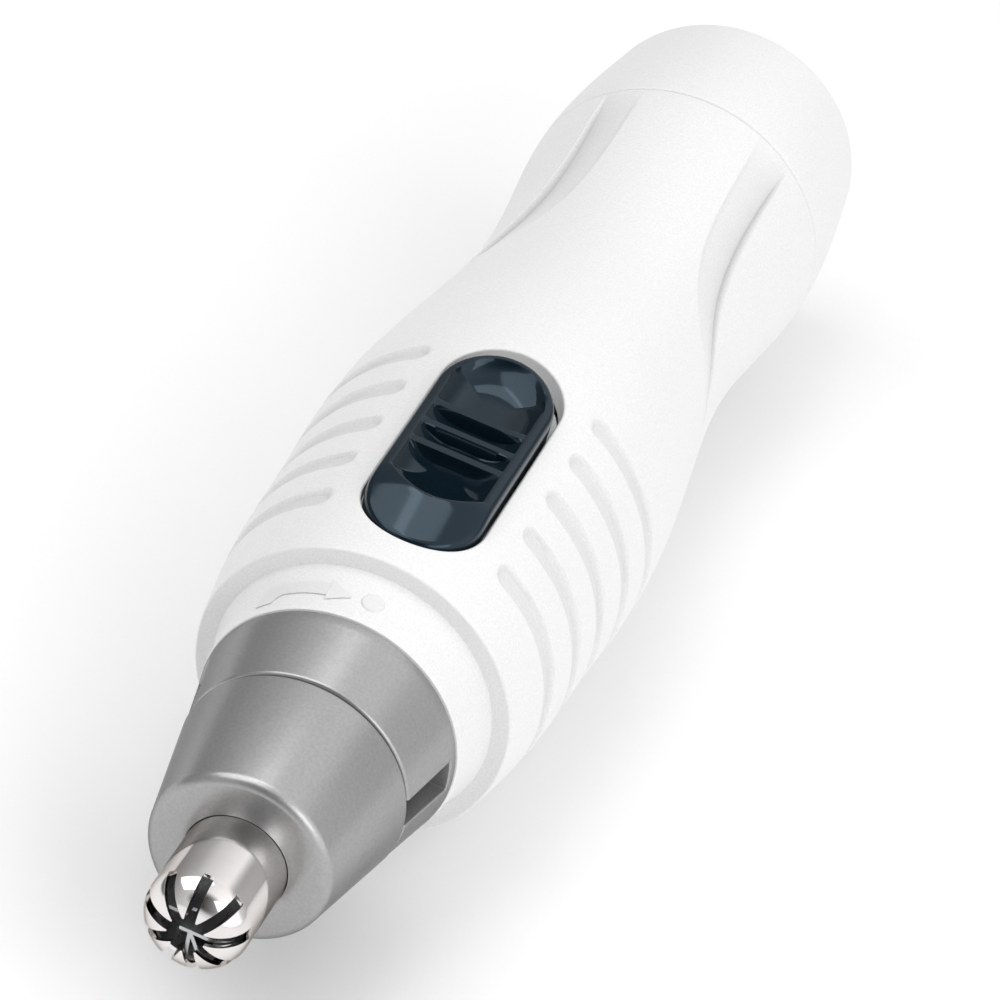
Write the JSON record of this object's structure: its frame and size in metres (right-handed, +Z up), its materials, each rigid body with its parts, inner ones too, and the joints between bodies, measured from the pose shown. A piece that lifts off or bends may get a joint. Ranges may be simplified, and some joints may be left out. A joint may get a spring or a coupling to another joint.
{
  "type": "nose hair trimmer",
  "caption": "Slim battery nose hair trimmer with a domed slitted steel cutter, a grey twist-off head, a white grip with a thumb switch and a twist-off battery cap.",
  "frame": {"origin": "on the surface it lies on, under the middle of its length", "axes": "+Y along the trimmer's axis from the cutter tip to the battery cap, +Z up through the thumb switch"},
  "size_m": [0.0302, 0.1284, 0.0307],
  "materials": {
    "polished_steel": "mirror polished, narrow slits with bright edges",
    "blade_steel": "fine ground sheet",
    "satin_grey": "satin metallic grey",
    "shell_white": "fine matt grain",
    "slate_gloss": "dark slate, glossy",
    "pale_grey": "smooth matt",
    "black_plastic": "smooth matt",
    "seal_rubber": "soft matt",
    "steel": "plain",
    "spring_steel": "drawn wire",
    "copper": "enamelled copper wire",
    "contact_brass": "stamped sheet",
    "bush_bronze": "sintered",
    "magnet": "sintered ferrite",
    "carbon": "pressed carbon",
    "cell_jacket": "plain printed jacket, no lettering"
  },
  "bodies": {
    "body": {"body_shell": "shell_white", "front_bulkhead": "pale_grey", "shaft_seal": "seal_rubber", "chassis": "pale_grey", "battery_tube": "pale_grey", "chassis_screws": "steel", "battery_cell": "cell_jacket", "front_contact": "contact_brass", "return_strip": "contact_brass", "motor_can": "steel", "motor_front_bush": "bush_bronze", "motor_magnets": "magnet", "motor_end_cap": "black_plastic", "motor_rear_bush": "bush_bronze", "motor_brushes": "carbon", "motor_terminals": "contact_brass", "switch_well": "pale_grey", "switch_contacts": "contact_brass"},
    "head": {"outer_cutter": "polished_steel", "head_cone": "satin_grey", "cutter_retainer": "pale_grey", "head_base": "satin_grey", "cutter_bush": "bush_bronze", "head_o_ring": "seal_rubber"},
    "drive": {"inner_cutter": "blade_steel", "cutter_holder": "pale_grey", "drive_pin": "steel", "cutter_spring": "spring_steel", "drive_coupling": "pale_grey", "motor_shaft": "steel", "armature_core": "steel", "armature_windings": "copper", "commutator": "contact_brass"},
    "battery_cap": {"battery_cap": "shell_white", "cap_o_ring": "seal_rubber", "cap_contact": "contact_brass", "cap_spring": "spring_steel"},
    "switch": {"switch_knob": "slate_gloss", "switch_slider": "pale_grey", "switch_wiper": "contact_brass"}
  },
  "joints": [
    {"name": "head_twist", "type": "hinge", "parent": "body", "child": "head", "pos_m": [0, -0.03475, 0.01455], "axis": [0, 1, 0], "range_deg": [0, 25]},
    {"name": "cutter_spin", "type": "hinge", "parent": "body", "child": "drive", "pos_m": [0, -0.03475, 0.01455], "axis": [0, 1, 0], "continuous": true},
    {"name": "cap_twist", "type": "hinge", "parent": "body", "child": "battery_cap", "pos_m": [0, 0.04625, 0.01455], "axis": [0, 1, 0], "range_deg": [0, 25]},
    {"name": "switch_slide", "type": "slide", "parent": "body", "child": "switch", "axis": [0, 1, 0], "range_m": [0, 0.0023]}
  ]
}
